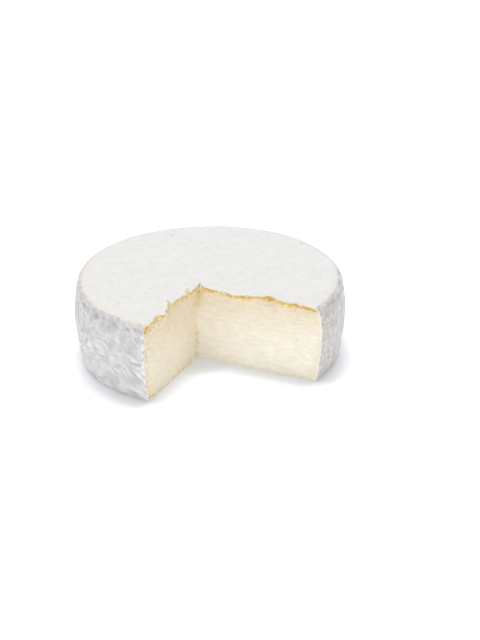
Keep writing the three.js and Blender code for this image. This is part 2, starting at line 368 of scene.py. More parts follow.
def smooth_radius(angle, z, inset, rim):
    """Distance from the axis to the rind without its relief."""
    radius = barrel_radius(z) * lobe_factor(angle)
    x, y = radius * np.cos(angle), radius * np.sin(angle)
    return radius - inset - rim * (1 + RIM_VARIATION * noise(x / 11, y / 11, 3.5))


def rind_radius(angle, z, inset, rim):
    """Distance from the axis to the rind."""
    fade = np.minimum(1, z / 4) * (1 - 0.6 * rim / RIM_ROUNDING)
    fine_fade = np.minimum(1, z / 2) * (1 - 0.4 * rim / RIM_ROUNDING)
    relief = fade * rind_relief(angle, z) + fine_fade * fine_relief(angle, z)
    return smooth_radius(angle, z, inset, rim) + relief


def round_angle(x, y):
    """From just under 0 at the right cut round to 270 degrees at the left one."""
    angle = np.arctan2(y, x)
    return np.where(angle < -np.pi / 4, angle + 2 * np.pi, angle)


# ---- The cut walls ----


class Wall:
    """A cut wall: the way it runs from the seam, and the side of it that faces the notch."""

    strokes = 1.0  # strength of the knife's strokes
    painted_shade = 0.0  # painted shade over all its paste, in the riper colour; and the ripeness of the paste next to the top
    top_ripeness = 0.85
    scoop = None

    def __init__(self, degrees, notch_side, nicks, edge, seed, spots, torn):
        angle = np.radians(degrees)
        self.run = (np.cos(angle), np.sin(angle))
        self.facing = (-notch_side * self.run[1], notch_side * self.run[0])
        self.nicks = nicks
        self.top_edge = edge
        self.seed = seed
        self.spots = spots
        self.torn = torn

    def push(self, along, z):
        """How far the wall stands out over the notch, as the solid has it."""
        down = WHEEL_HEIGHT - z
        push = sum(height * bell(along - at, width) for at, width, height in self.nicks)
        tear = EDGE_TEAR * noise(along / TEAR_LENGTH, self.seed, 0.5)
        push = (push + tear) * bell(down, NICK_REACH)
        push = push + WALL_WAVE * noise(
            along / WALL_WAVELENGTH, self.seed + 2.7, z / WALL_WAVELENGTH
        )
        if self.scoop:
            at, low, length, height, depth = self.scoop
            push = push - depth * bell(along - at, length) * bell(down - low, height)
        return push * (1 - bell(along, 1.6))

    def line(self, depth, edge, along, z, seed):
        """Distance past the white skin, and strength of the golden line, at one of its edges."""
        thickness, width, strength, missing, beads = edge
        a, c = along / 1.9, z / 1.9
        bead = noise(a, c, self.seed + seed)
        skin = depth - thickness * (1 + (0.9 + beads) * bead)
        half = 0.5 * width * (1 + 1.2 * noise(0.8 * a, 0.8 * c, self.seed + seed + 1.3))
        there = noise(0.75 * a, 0.75 * c, self.seed + seed + 2.9) - beads * bead + 0.5 - missing
        gold = strength * ramp(there, -0.1, 0.25) * bell(skin - half, 1.2 * half)
        return skin, gold

    def looks(self, along, z, length):
        """Depth past the white skin, strength of gold, and ripeness of the paste with its painted
        shade.
        """
        down, out = WHEEL_HEIGHT - z, length - along
        skin, gold = self.line(down, self.top_edge, along, z, 0.0)
        for depth, edge, seed in ((out, OUTER_EDGE, 5.0), (z, BASE_EDGE, 11.0)):
            other_skin, other_gold = self.line(depth, edge, along, z, seed)
            skin = np.minimum(skin, other_skin)
            gold = np.maximum(gold, other_gold)
        rag = noise(along / 1.3, z / 1.3, self.seed + 17.0)
        for at, height, wide, high, strength in self.spots:
            spot = strength * bell(along - at, wide) * bell(z - height, high)
            gold = np.maximum(gold, spot * (1 + 0.5 * rag))
        speckle = noise(along / SPECKLE_SIZE, z / SPECKLE_SIZE, self.seed + 13.0)
        gold = np.maximum(gold, 0.7 * ramp(speckle, 0.15, 0.4) * bell(down - 1.4, 1.3))
        crack = ramp(z, WHEEL_HEIGHT - 16, WHEEL_HEIGHT - 5) * bell(along - 0.3, 0.9)
        gold = np.maximum(gold, 0.75 * crack)
        gold = np.maximum(gold, 0.28 * bell(down, 3.2) * (1 + rag))
        ripe = np.maximum(self.top_ripeness * bell(down, 13), 0.5 * bell(out, 3.0))
        # shade painted over the whole wall, in the riper colour: on the left wall only
        ripe = ripe + self.painted_shade * (1 - ripe)
        return skin, gold * ramp(skin, -0.1, 0.1), ripe

    def detail(self, along, z, down, out):
        """The rind's proud cut lip, the torn line under it, and the marks in the paste."""
        near = np.minimum(np.minimum(down, out), z)
        rag = RAG_HEIGHT * noise(along / RAG_LENGTH, down / 1.6, self.seed + 6.1) * bell(down, 1.5)
        from_level_edge = np.minimum(down, z)
        lip = LIP * (1 + noise(along / 1.4, z / 1.4, self.seed + 6.1))
        lip = lip * (1 - ramp(from_level_edge, 0.3, 0.8))
        rough = noise(along / 1.7, z / 1.7, self.seed + 1.1)
        groove = GROOVE * (0.7 + 0.9 * rough) * bell(near - 1.0, 0.6)
        inside = ramp(near, 0.8, 2.4)
        return rag + lip - groove + inside * self.marks(along, z)

    def marks(self, along, z):
        """Relief of the paste: curd, small holes, knife strokes and torn patches."""
        curd = CURD_HEIGHT * noise(along / 1.4, z / 1.4, self.seed + 9.1)
        pit = cell_border(along / PIT_SIZE, z / PIT_SIZE, self.seed + 0.3)
        holes = 0.2 * ramp(pit, 0.66, 0.95) * ramp(noise(along / 7, z / 7, 4.4), 0.05, 0.3)
        slide = z + 0.06 * along + 1.1 * noise(along / 17, z / 9, self.seed)
        strokes = noise(along / STROKE_LENGTH, slide / STROKE_PITCH, self.seed + 3.3)
        lumps = noise(along / 1.7, z / 1.7, self.seed + 19.0)
        torn = 0
        for at, level, wide, high, height in self.torn:
            torn = torn + height * lumps * bell(along - at, wide) * bell(z - level, high)
        return curd - holes + STROKE_HEIGHT * self.strokes * strokes + torn

    def point(self, along, z, out):
        """A point of the wall; out is its distance from the wall's outer edge."""
        down = WHEEL_HEIGHT - z
        push = self.push(along, z) + self.detail(along, z, down, out) * (1 - bell(along, 0.5))
        overrun = OVERRUN * bell(down, OVERRUN_DEPTH) * bell(along, OVERRUN_WIDTH)
        x = SEAM[0] + self.run[0] * along + self.facing[0] * push + 0.12 * overrun
        y = SEAM[1] + self.run[1] * along + self.facing[1] * push + overrun
        return x, y

    def spot(self, along, z, proud):
        """A point of the finished wall, or one that stands proud of it by that much."""
        x, y = self.point(along, z, FAR_IN)
        x, y = x + proud * self.facing[0], y + proud * self.facing[1]
        return np.stack([x, y, z + lift_share(z) * top_lift(x, y)], -1)

    def length(self, z, inset, rim):
        """Distance from the seam to where the wall meets the rind, at each level."""
        length = np.full(z.shape, LENGTH_GUESS)
        for _ in range(LENGTH_STEPS):
            x, y = self.point(length, z, np.zeros(z.shape))
            length = length + rind_radius(round_angle(x, y), z, inset, rim) - np.hypot(x, y)
        return length


# Golden spots of each wall: distance from the seam, height, width, height of the spot, strength
SEAM_SPOTS = [(0.3, 12.9, 1.5, 1.2, 0.9), (0.3, 7.6, 1.3, 1.0, 0.8), (0.3, 2.2, 1.4, 0.9, 0.7)]
LEFT_SPOTS = SEAM_SPOTS + [
    (49.3, 36.6, 2.6, 1.9, 3.0),
    (48.3, 5.4, 2.9, 4.8, 0.75),
    (45.5, 1.8, 3.4, 1.2, 0.8),
    (41, 35.2, 2.4, 0.9, 0.55),
    (36, 34.9, 2.2, 0.8, 0.5),
    (18, 1.9, 3.2, 0.9, 0.65),
    (9, 3.0, 2.4, 0.9, 0.65),
    (6.6, 32, 0.5, 5.5, 0.4),
    (49, 29.6, 2.0, 1.1, 0.75),
    (49.2, 26.4, 2.0, 1.2, 0.7),
    (49.2, 15, 2.0, 1.3, 0.7),
    (48.8, 10.8, 2.0, 1.0, 0.7),
]
RIGHT_SPOTS = SEAM_SPOTS + [
    (14.1, 2.5, 1.4, 0.7, 0.6),
    (33.7, 35.4, 1.3, 0.7, 0.55),
    (42.5, 36.0, 4.0, 0.6, 0.9),
    (48, 35.2, 2.8, 0.6, 0.8),
]
# Torn patches of each wall: distance from the seam, height, width, height of the patch, relief
LEFT_TORN = [(37, 34.6, 9, 2.8, 0.9), (47, 28, 3, 6, 0.5)]
RIGHT_TORN = [(8, 36, 5, 1.5, 0.4), (33, 35.5, 5, 1.5, 0.4)]
LEFT_WALL = Wall(LEFT_WALL_ANGLE, 1, LEFT_NICKS, LEFT_TOP_EDGE, 8.5, LEFT_SPOTS, LEFT_TORN)
LEFT_WALL.strokes = 0.5
LEFT_WALL.painted_shade = LEFT_PAINTED_SHADE
LEFT_WALL.top_ripeness = 1.0
LEFT_WALL.scoop = SCOOP
RIGHT_WALL = Wall(RIGHT_WALL_ANGLE, -1, RIGHT_NICKS, RIGHT_TOP_EDGE, 21.5, RIGHT_SPOTS, RIGHT_TORN)


# ---- The body's mesh ----
ARC_COLUMNS = 636
LEFT_COLUMNS = 124
RIGHT_COLUMNS = 144
COLUMNS = ARC_COLUMNS + LEFT_COLUMNS + RIGHT_COLUMNS
BASE_RINGS = 4
SIDE_RINGS = 80
RIM_RINGS = 8
INWARD_STEPS = [0.35, 0.75, 1.2, 1.75, 2.4, 3.2, 4.1, 5.1, 6.2]
TOP_PITCH = 1.25  # distance between the vertices farther in on the top, and on the base
BASE_PITCH = 6.0
GRID_GAP = 0.7  # share of that pitch which they keep from the last ring


def crowded(count, ends):
    """Shares from 0 up to, not with, 1, closer together towards both ends."""
    t = np.arange(count) / count
    return (1 - ends) * t + ends * (1 - np.cos(np.pi * t)) / 2


def ring_levels():
    """Heights of the rings, each with how far the roundings draw it in."""
    a = np.arange(BASE_RINGS) / BASE_RINGS * np.pi / 2
    z = [BASE_ROUNDING * (1 - np.cos(a))]
    inset = [BASE_ROUNDING * (1 - np.sin(a))]
    high = WHEEL_HEIGHT - RIM_ROUNDING
    z.append(np.linspace(BASE_ROUNDING, high, SIDE_RINGS + 1))
    a = np.arange(1, RIM_RINGS + 1) / RIM_RINGS * np.pi / 2
    z.append(high + RIM_ROUNDING * np.sin(a))
    inset.append(np.zeros(SIDE_RINGS + 1 + RIM_RINGS))
    rim = np.concatenate([np.zeros(BASE_RINGS + SIDE_RINGS + 1), RIM_ROUNDING * (1 - np.cos(a))])
    return np.concatenate(z), np.concatenate(inset), rim


def tan_share(angle, z):
    """How tan the rind is: one blemish low on the side, faint spots, and painted shade in tan next
    to the right cut.
    """
    along = from_left_cut(angle)
    at, middle, width, height, slant = BLEMISH
    above = z - middle
    blemish = bell(along - at - slant * above, width) * bell(above, height)
    blemish = blemish * (0.7 + noise(along / 1.3, z / 1.3, 15.5))
    spots = 0.5 * ramp(noise(along / 4.5, z / 4.5, 81.3), 0.42, 0.7)
    # painted shade by the right cut, in tan
    shade_by_right_cut = 0.25 * bell(WHEEL_RADIUS * (angle - RIGHT_CUT), SHADE_REACH_BY_RIGHT_CUT)
    return np.clip(np.maximum(np.maximum(blemish, spots), shade_by_right_cut), 0, 1)


def rubbing(y):
    """How much of the rim's skin is rubbed off: more of it towards the notch."""
    return 0.1 + 0.9 * ramp(y, 20, -10)


class Body:
    """Every value of the level rings: one row for each level, one column round the ring."""

    def __init__(self):
        z, inset, rim = ring_levels()
        left, right = LEFT_WALL.length(z, inset, rim), RIGHT_WALL.length(z, inset, rim)
        nothing = np.zeros(z.shape)
        start = round_angle(*RIGHT_WALL.point(right, z, nothing))[:, None]
        end = round_angle(*LEFT_WALL.point(left, z, nothing))[:, None]
        zz, ii, rr = z[:, None], inset[:, None], rim[:, None]

        angle = start + (end - start) * crowded(ARC_COLUMNS, 0.5)[None]
        level = zz + 0 * angle
        radius = rind_radius(angle, level, ii, rr)
        plain = smooth_radius(angle, level, ii, rr)
        nothing = 0 * angle
        to_top = RIM_ROUNDING - rr + nothing
        length, across = bent(from_left_cut(angle), level)
        columns = {
            "x": [radius * np.cos(angle)],
            "y": [radius * np.sin(angle)],
            "z": [level],
            "smooth_x": [plain * np.cos(angle)],
            "smooth_y": [plain * np.sin(angle)],
            "skin": [nothing],
            "gold": [nothing],
            "ripe": [nothing],
            "topside": [ramp(to_top, 0.9, 0.1)],
            "rub": [bell(to_top, 1.1) * rubbing(plain * np.sin(angle))],
            "outer": [nothing + 1],
            "relief": [wrinkles(angle, level)],
            "tan": [tan_share(angle, level)],
            "edge": [edge_beads(angle, level)],
            "length": [length],
            "across": [across],
        }
        for wall, length, count, outward in (
            (LEFT_WALL, left[:, None], LEFT_COLUMNS, False),
            (RIGHT_WALL, right[:, None], RIGHT_COLUMNS, True),
        ):
            share = crowded(count, 0.55)[None]
            along = length * (share if outward else 1 - share)
            level = zz + 0 * along
            x, y = wall.point(along, level, length - along)
            skin, gold, ripe = wall.looks(along, level, length)
            found = {
                "x": x,
                "y": y,
                "z": level,
                "smooth_x": SEAM[0] + wall.run[0] * along,
                "smooth_y": SEAM[1] + wall.run[1] * along,
                "skin": skin,
                "gold": gold,
                "ripe": ripe,
                "outer": bell(length - along, 2.5),
            }
            for name, values in columns.items():
                values.append(found.get(name, 0 * along))
        for name, values in columns.items():
            setattr(self, name, np.concatenate(values, 1))


def inward_directions(x, y):
    """Unit vectors from a closed outline to its inside, evened out along it."""
    tangent_x = (np.roll(x, -1) - np.roll(x, 1)) / 2
    tangent_y = (np.roll(y, -1) - np.roll(y, 1)) / 2
    near = bell(np.hypot(x[:, None] - x[None], y[:, None] - y[None]), SMOOTHING)
    nx, ny = near @ -tangent_y, near @ tangent_x
    size = np.hypot(nx, ny)
    return nx / size, ny / size


class Rings:
    """Rings of vertices joined one to the next, and grids that close them."""

    def __init__(self):
        self.points = []
        self.values = []
        self.faces = []
        self.count = 0

    def add(self, points, values):
        first = self.count
        self.points.append(points)
        self.values.append(values)
        self.count += len(points)
        return first

    def join(self, a, b, n):
        """Triangles between two rings of n vertices, given by their first ones."""
        i = np.arange(n)
        j = (i + 1) % n
        self.faces += [np.c_[a + i, a + j, b + j], np.c_[a + i, b + j, b + i]]

    def close(self, ring, x, y, pitch, height, values, up):
        """Even triangles over all that a level ring holds."""
        n = len(x)
        gx, gy = inner_grid(x, y, pitch)
        points = [Vector(p) for p in np.c_[np.r_[x, gx], np.r_[y, gy]]]
        outline = [list(range(n))]
        found, _, faces, origins, _, _ = delaunay_2d_cdt(points, [], outline, 1, 1e-6)
        assert len(found) == len(points)
        # Vertices of the result, back to their places in the two lists
        source = np.array([origin[0] for origin in origins])
        inner = self.add(np.c_[gx, gy, height(gx, gy)], np.tile(values, (len(gx), 1)))
        number = np.where(source < n, ring + source, inner + source - n)
        faces = number[np.array(faces)]
        self.faces.append(faces if up else faces[:, ::-1])


def inner_grid(x, y, pitch):
    """A staggered grid of points inside an outline, clear of it."""
    rows = np.arange(y.min(), y.max(), pitch * np.sqrt(3) / 2)
    columns = np.arange(x.min(), x.max(), pitch)
    gy, gx = np.meshgrid(rows, columns, indexing="ij")
    gx = gx + 0.5 * pitch * (np.arange(len(rows)) % 2)[:, None]
    gx, gy = gx.ravel(), gy.ravel()
    inside = np.zeros(gx.shape, bool)
    clear = np.full(gx.shape, True)
    for x1, y1, x2, y2 in zip(x, y, np.roll(x, -1), np.roll(y, -1)):
        crosses = (y1 > gy) != (y2 > gy)
        with np.errstate(divide="ignore", invalid="ignore"):
            at = x1 + (gy - y1) * (x2 - x1) / (y2 - y1)
        inside ^= crosses & (gx < at)
        clear &= np.hypot(gx - x1, gy - y1) > GRID_GAP * pitch
    return gx[inside & clear], gy[inside & clear]


# What each vertex carries for the materials: depth past the skin, strength of gold, ripeness of
# the paste with the left wall's painted shade, whether it is on the top (the side is painted
# greyer, partly as shade), rubbing of the rim, relief (which also sets painted shade and
# highlight), tan with the painted shade by the right cut, beads of the cut edges, distances along
# and across the folds, and distance in from the notch's edge
VALUES = "skin gold ripe topside rub relief tan edge length across inward".split()


def on_top(count, **given):
    """The values of that many vertices of the top, 0 where they aren't given."""
    given["topside"] = 1.0
    return np.stack([given.get(name, 0.0) + np.zeros(count) for name in VALUES], 1)


def top_height(x, y):
    return WHEEL_HEIGHT + top_lift(x, y) + top_texture(x, y)


def base_height(x, y):
    return 0 * x


def cheese_mesh():
    """Vertices, triangles and the values of each vertex."""
    body = Body()
    at_top = body.z > WHEEL_HEIGHT - 0.01
    lift = top_lift(body.x, body.y) + at_top * top_texture(body.x, body.y)
    height = body.z + lift_share(body.z) * lift
    inward = FAR_IN * body.outer
    sheets = [getattr(body, name) for name in VALUES[:-1]] + [inward]
    rings = Rings()
    kept = []
    for i in range(len(height)):
        points = np.c_[body.x[i], body.y[i], height[i]]
        kept.append(rings.add(points, np.stack([sheet[i] for sheet in sheets], 1)))
    for low, high in zip(kept, kept[1:]):
        rings.join(low, high, COLUMNS)

    # The top: steps inwards from its torn edge to a smooth outline, then an even grid
    x, y, outer = body.smooth_x[-1], body.smooth_y[-1], body.outer[-1]
    torn_x, torn_y = body.x[-1] - x, body.y[-1] - y
    nx, ny = inward_directions(x, y)
    last = kept[-1]
    for step in INWARD_STEPS:
        torn = 1 - ramp(step, 0, RAG_REACH)
        ring_x, ring_y = x + step * nx + torn * torn_x, y + step * ny + torn * torn_y
        rub = outer * bell(step, 1.1) * rubbing(y)
        values = on_top(COLUMNS, rub=rub, inward=step + FAR_IN * outer)
        ring = rings.add(np.c_[ring_x, ring_y, top_height(ring_x, ring_y)], values)
        rings.join(last, ring, COLUMNS)
        last = ring
    plain = on_top(1, inward=FAR_IN)
    rings.close(last, ring_x, ring_y, TOP_PITCH, top_height, plain, True)
    rings.close(kept[0], body.x[0], body.y[0], BASE_PITCH, base_height, plain, False)
    return np.concatenate(rings.points), np.concatenate(rings.faces), np.concatenate(rings.values)


def new_mesh(name, points, faces, smooth=True):
    """A mesh object from points in millimetres and triangles."""
    mesh = bpy.data.meshes.new(name)
    mesh.vertices.add(len(points))
    mesh.vertices.foreach_set("co", (np.asarray(points, float) * MM).ravel())
    mesh.loops.add(3 * len(faces))
    mesh.loops.foreach_set("vertex_index", np.asarray(faces, np.int32).ravel())
    mesh.polygons.add(len(faces))
    mesh.polygons.foreach_set("loop_start", 3 * np.arange(len(faces), dtype=np.int32))
    mesh.update(calc_edges=True)
    mesh.validate()
    if smooth:
        mesh.shade_smooth()
    obj = bpy.data.objects.new(name, mesh)
    bpy.context.scene.collection.objects.link(obj)
    return obj


def build_cheese(rind, paste):
    points, faces, values = cheese_mesh()
    obj = new_mesh("cheese_rind_and_paste", points, faces)
    for i, name in enumerate(VALUES):
        attribute = obj.data.attributes.new(name, "FLOAT", "POINT")
        attribute.data.foreach_set("value", values[:, i].astype(np.float32))
    obj.data.materials.append(rind)
    obj.data.materials.append(paste)
    # Faces of the cut walls: every corner lies on a wall column of a side ring
    side = len(ring_levels()[0]) * COLUMNS
    column = faces % COLUMNS
    on_wall = (column >= ARC_COLUMNS) | (column == 0)
    cut = (faces < side).all(1) & on_wall.all(1)
    obj.data.polygons.foreach_set("material_index", cut.astype(np.int32))
    return obj


# ---- Materials ----


class Nodes:
    """Short names for making the nodes of a tree."""

    def __init__(self, tree):
        self.tree = tree

    def link(self, source, target):
        self.tree.links.new(source, target)

    def feed(self, socket, value):
        """Links a socket to another one, or sets it to a number or colour."""
        if isinstance(value, bpy.types.NodeSocket):
            self.link(value, socket)
        else:
            socket.default_value = value

    def math(self, operation, a, b):
        node = self.tree.nodes.new("ShaderNodeMath")
        node.operation = operation
        for socket, value in zip(node.inputs, (a, b)):
            self.feed(socket, value)
        return node.outputs[0]


class MaterialNodes(Nodes):
    """The nodes of a new material."""

    def __init__(self, name):
        self.material = bpy.data.materials.new(name)
        self.material.use_nodes = True
        super().__init__(self.material.node_tree)
        self.tree.nodes.clear()
        output = self.tree.nodes.new("ShaderNodeOutputMaterial")
        self.shader = self.tree.nodes.new("ShaderNodeBsdfPrincipled")
        self.link(self.shader.outputs[0], output.inputs["Surface"])
        self.place = self.tree.nodes.new("ShaderNodeTexCoord").outputs["Object"]

    def attribute(self, name):
        node = self.tree.nodes.new("ShaderNodeAttribute")
        node.attribute_name = name
        return node.outputs["Fac"]

    def texture(self, vector, detail):
        """Noise over a vector, with features of about one unit; 0.5 is its middle."""
        node = self.tree.nodes.new("ShaderNodeTexNoise")
        node.inputs["Scale"].default_value = 1.0
        node.inputs["Detail"].default_value = detail
        self.link(vector, node.inputs["Vector"])
        return node.outputs["Fac"]

    def noise(self, millimetres, detail, stretch=(1, 1, 1)):
        """Noise of about that feature size."""
        mapping = self.tree.nodes.new("ShaderNodeMapping")
        self.link(self.place, mapping.inputs["Vector"])
        mapping.inputs["Scale"].default_value = [s / (millimetres * MM) for s in stretch]
        return self.texture(mapping.outputs[0], detail)

    def hatch(self, run, pitch):
        """Fine wrinkles that run along the folds."""
        place = self.tree.nodes.new("ShaderNodeCombineXYZ")
        for socket, name, size in zip(place.inputs, ("length", "across"), (run, pitch)):
            self.link(self.math("DIVIDE", self.attribute(name), size), socket)
        return self.texture(place.outputs[0], 2.0)

    def ramp(self, value, low, high, out_low=0.0, out_high=1.0):
        node = self.tree.nodes.new("ShaderNodeMapRange")
        node.interpolation_type = "SMOOTHSTEP"
        for socket, number in zip(node.inputs, (value, low, high, out_low, out_high)):
            self.feed(socket, number)
        return node.outputs[0]

    def swing(self, noise, strength):
        """A noise moved to go about 0, that strong."""
        return self.math("MULTIPLY", self.math("SUBTRACT", noise, 0.5), strength)

    def mix(self, share, a, b, blend="MIX"):
        node = self.tree.nodes.new("ShaderNodeMix")
        node.data_type = "RGBA"
        node.blend_type = blend
        self.feed(node.inputs[0], share)
        self.feed(node.inputs[6], a)
        self.feed(node.inputs[7], b)
        return node.outputs[2]

    def mottled(self, millimetres, detail, a, b):
        """Two colours in patches of about that size."""
        return self.mix(self.ramp(self.noise(millimetres, detail), 0.35, 0.65), a, b)

    def bump(self, height, millimetres, strength, under=None):
        node = self.tree.nodes.new("ShaderNodeBump")
        node.inputs["Distance"].default_value = millimetres * MM
        self.feed(node.inputs["Strength"], strength)
        self.feed(node.inputs["Height"], height)
        if under is not None:
            self.link(under, node.inputs["Normal"])
        return node.outputs[0]

    def finish(self, colour, roughness, normal, radius, scale):
        """The material, with light that goes under its surface to the radius times the scale."""
        self.feed(self.shader.inputs["Base Color"], colour)
        self.feed(self.shader.inputs["Roughness"], roughness)
        self.feed(self.shader.inputs["Normal"], normal)
        self.shader.inputs["Subsurface Weight"].default_value = SUBSURFACE
        self.shader.inputs["Subsurface Radius"].default_value = radius
        self.shader.inputs["Subsurface Scale"].default_value = scale * MM
        return self.material


def srgb(red, green, blue):
    """A linear colour from one given as 0 to 255."""
    values = np.array([red, green, blue]) / 255
    linear = np.where(values <= 0.04045, values / 12.92, ((values + 0.055) / 1.055) ** 2.4)
    return (*linear.tolist(), 1.0)


WHITE_BLOOM = srgb(241, 240, 238)
WHITE_SHADE = srgb(237, 236, 234)
# The side's colours are greyer than the top's: partly the rind's own tone, partly painted shade
SIDE_BLOOM_AND_SHADE = srgb(225, 223, 223)
SIDE_SHADE = srgb(205, 202, 203)
CREST_HIGHLIGHT = srgb(236, 234, 233)
CREASE_GREY_AND_SHADE = srgb(180, 177, 179)
EDGE_WHITE = srgb(249, 245, 236)
RUBBED = srgb(246, 237, 222)
TAN = srgb(210, 190, 158)
PASTE = srgb(255, 249, 234)
PASTE_WARM = srgb(255, 246, 229)
PASTE_RIPE = srgb(243, 226, 196)
GOLD = srgb(250, 228, 166)
GOLD_DEEP = srgb(226, 187, 100)
CHIP = srgb(255, 212, 104)
CRUMB = srgb(247, 229, 170)
CRUMB_DEEP = srgb(232, 207, 134)
CUT_RIND = srgb(250, 246, 234)
SUBSURFACE = 0.1  # share of the light that goes under a surface


def rind_material():
    n = MaterialNodes("bloomy_rind")
    topside, rub, relief = (n.attribute(v) for v in ("topside", "rub", "relief"))
    tan, edge, inward = (n.attribute(v) for v in ("tan", "edge", "inward"))
    side = n.mottled(4, 4, SIDE_SHADE, SIDE_BLOOM_AND_SHADE)
    hatch = n.hatch(HATCH_RUN, HATCH_PITCH)
    # Painted shade in the creases, partly a thinner mould there, and a painted highlight on the
    # crests
    lined = n.math("ADD", relief, n.swing(hatch, 1.3))
    side = n.mix(n.ramp(lined, -0.75, -0.05), CREASE_GREY_AND_SHADE, side)
    side = n.mix(n.ramp(lined, 0.05, 0.6), side, CREST_HIGHLIGHT)
    side = n.mix(n.ramp(edge, 0.1, 0.6), side, EDGE_WHITE)
    top = n.mottled(4, 3, WHITE_SHADE, WHITE_BLOOM)
    ragged = n.swing(n.noise(2.4, 4), 2.4)
    # White on the top; the side and most of the rim's rounding greyer, partly as painted shade
    colour = n.mix(n.ramp(n.math("ADD", topside, ragged), 0.2, 0.8), side, top)
    rubbed = n.math("MULTIPLY", rub, n.ramp(n.noise(3, 5), 0.36, 0.62))
    colour = n.mix(rubbed, colour, RUBBED)
    colour = n.mix(n.math("MULTIPLY", tan, n.ramp(n.noise(1.2, 3), 0.35, 0.6)), colour, TAN)
    # Gold shows through where the skin is torn off along the notch
    torn = n.math("ADD", inward, n.math("MULTIPLY", n.noise(1.6, 3), 2.4))
    colour = n.mix(n.ramp(torn, 1.15, 0.75), colour, GOLD)
    normal = n.bump(hatch, 0.3, 0.7)
    normal = n.bump(n.noise(0.7, 3), 0.1, n.ramp(topside, 0, 1, 0.3, 0.12), normal)
    return n.finish(colour, 0.9, normal, (1.0, 0.9, 0.8), 0.6)


def paste_material():
    n = MaterialNodes("cream_paste")
    skin, gold, ripe = (n.attribute(v) for v in ("skin", "gold", "ripe"))
    paste = n.mottled(7, 2, PASTE, PASTE_WARM)
    # Riper paste, and the left wall's painted shade, in the riper colour
    paste = n.mix(ripe, paste, PASTE_RIPE)
    ragged = n.swing(n.noise(0.9, 4), 1.3)
    uneven = n.math("ADD", gold, n.swing(n.noise(1.8, 4), 2.2))
    golden = n.mix(n.ramp(uneven, 0.6, 1.3), GOLD, GOLD_DEEP)
    golden = n.mix(n.ramp(gold, 1.3, 1.6), golden, CHIP)
    share = n.ramp(n.math("ADD", gold, ragged), 0.1, 0.9)
    colour = n.mix(share, paste, golden)
    edge = n.math("ADD", skin, n.swing(n.noise(0.9, 3), 0.5))
    colour = n.mix(n.ramp(edge, -0.05, 0.12), CUT_RIND, colour)
    # Ripples of the knife, and curd; the ripples' hollows are also painted darker, as shade
    ripples = n.noise(1.4, 4, stretch=(0.35, 0.35, 1))
    shade = n.ramp(ripples, 0.35, 0.62, 0.93, 1.0)
    colour = n.mix(1.0, colour, shade, "MULTIPLY")
    normal = n.bump(ripples, 0.55, 1.0)
    normal = n.bump(n.noise(0.8, 3), 0.28, 1.0, normal)
    return n.finish(colour, 0.55, normal, (1.0, 0.75, 0.45), 1.2)


def plain_material(name, light, dark):
    """Crumbs and flakes: mottled between two colours."""
    n = MaterialNodes(name)
    colour = n.mottled(0.8, 3, dark, light)
    return n.finish(colour, 0.7, n.bump(n.noise(0.4, 3), 0.05, 0.6), (1.0, 0.8, 0.5), 0.5)


# ---- Crumbs and flakes ----
# Rows of them on a wall: the wall, first and last distance from the seam, first and last height,
# how many, and their smallest and largest size
GOLDEN_ROWS = [
    (RIGHT_WALL, 1, 22, 36.9, 36.1, 34, 0.3, 0.85),
    (RIGHT_WALL, 22, 58, 37.0, 36.0, 40, 0.3, 0.8),
    (LEFT_WALL, 1, 26, 36.9, 36.3, 24, 0.25, 0.7),
    (LEFT_WALL, 26, 46, 36.5, 35.2, 26, 0.3, 0.9),
    (LEFT_WALL, 46, 49.6, 37.2, 34.0, 9, 0.4, 0.9),
    (LEFT_WALL, 0.5, 1.0, 35.5, 1.5, 14, 0.3, 0.8),
    (LEFT_WALL, 7, 20, 0.8, 1.6, 5, 0.5, 1.0),
    (LEFT_WALL, 42, 49.5, 0.8, 2.2, 7, 0.5, 1.2),
    (LEFT_WALL, 48.9, 49.4, 32.0, 4.0, 6, 0.6, 1.1),
    (RIGHT_WALL, 10, 60, 0.8, 1.2, 9, 0.4, 0.8),
]
PASTE_ROWS = [
    (LEFT_WALL, 28, 46, 35.9, 33.9, 40, 0.5, 1.5),
    (LEFT_WALL, 45, 49.5, 31.0, 8.0, 14, 0.4, 1.0),
    (LEFT_WALL, 48.9, 49.5, 31.0, 4.0, 12, 0.6, 1.3),
    (LEFT_WALL, 2, 26, 35.4, 33.8, 14, 0.3, 0.8),
    (RIGHT_WALL, 3, 55, 35.4, 34.4, 24, 0.3, 0.8),
    (RIGHT_WALL, 3, 50, 0.6, 1.4, 14, 0.4, 0.9),
    (LEFT_WALL, 3, 40, 0.6, 1.4, 16, 0.4, 0.9),
]
FLAKE_ROWS = [
    (LEFT_WALL, 49.2, 50.0, 34.0, 2.0, 24, 0.7, 1.6),
    (LEFT_WALL, 44.0, 48.6, 0.8, 0.8, 6, 0.7, 1.3),
    (RIGHT_WALL, 6, 56, 37.4, 37.2, 12, 0.25, 0.5),
    (LEFT_WALL, 6, 46, 37.4, 37.2, 9, 0.25, 0.5),
]
# What fills the seam's top, a golden lump and before it a spike of skin: distance from the seam,
# height, how proud of the left wall, half its width and length
SEAM_FILLING = (0.4, 36.0, 0.5, 1.1, 1.7)
SPIKE = (0.8, 37.1, 1.2, 0.5, 2.1)
# Slivers that lie on the top: both ends, each as distance from the seam and behind the left wall,
# and half their width
SLIVERS = [((10.2, -0.4), (4.9, 2.2), 1.3), ((22.9, 1.8), (20.6, 4.6), 0.9)]
SLIVER_HALF_HEIGHT = 0.45


def round_lump():
    """Vertices and triangles of a small ball of radius 1."""
    ball = bmesh.new()
    bmesh.ops.create_icosphere(ball, subdivisions=2, radius=1)
    points = np.array([v.co for v in ball.verts])
    faces = np.array([[v.index for v in face.verts] for face in ball.faces])
    ball.free()
    return points, faces


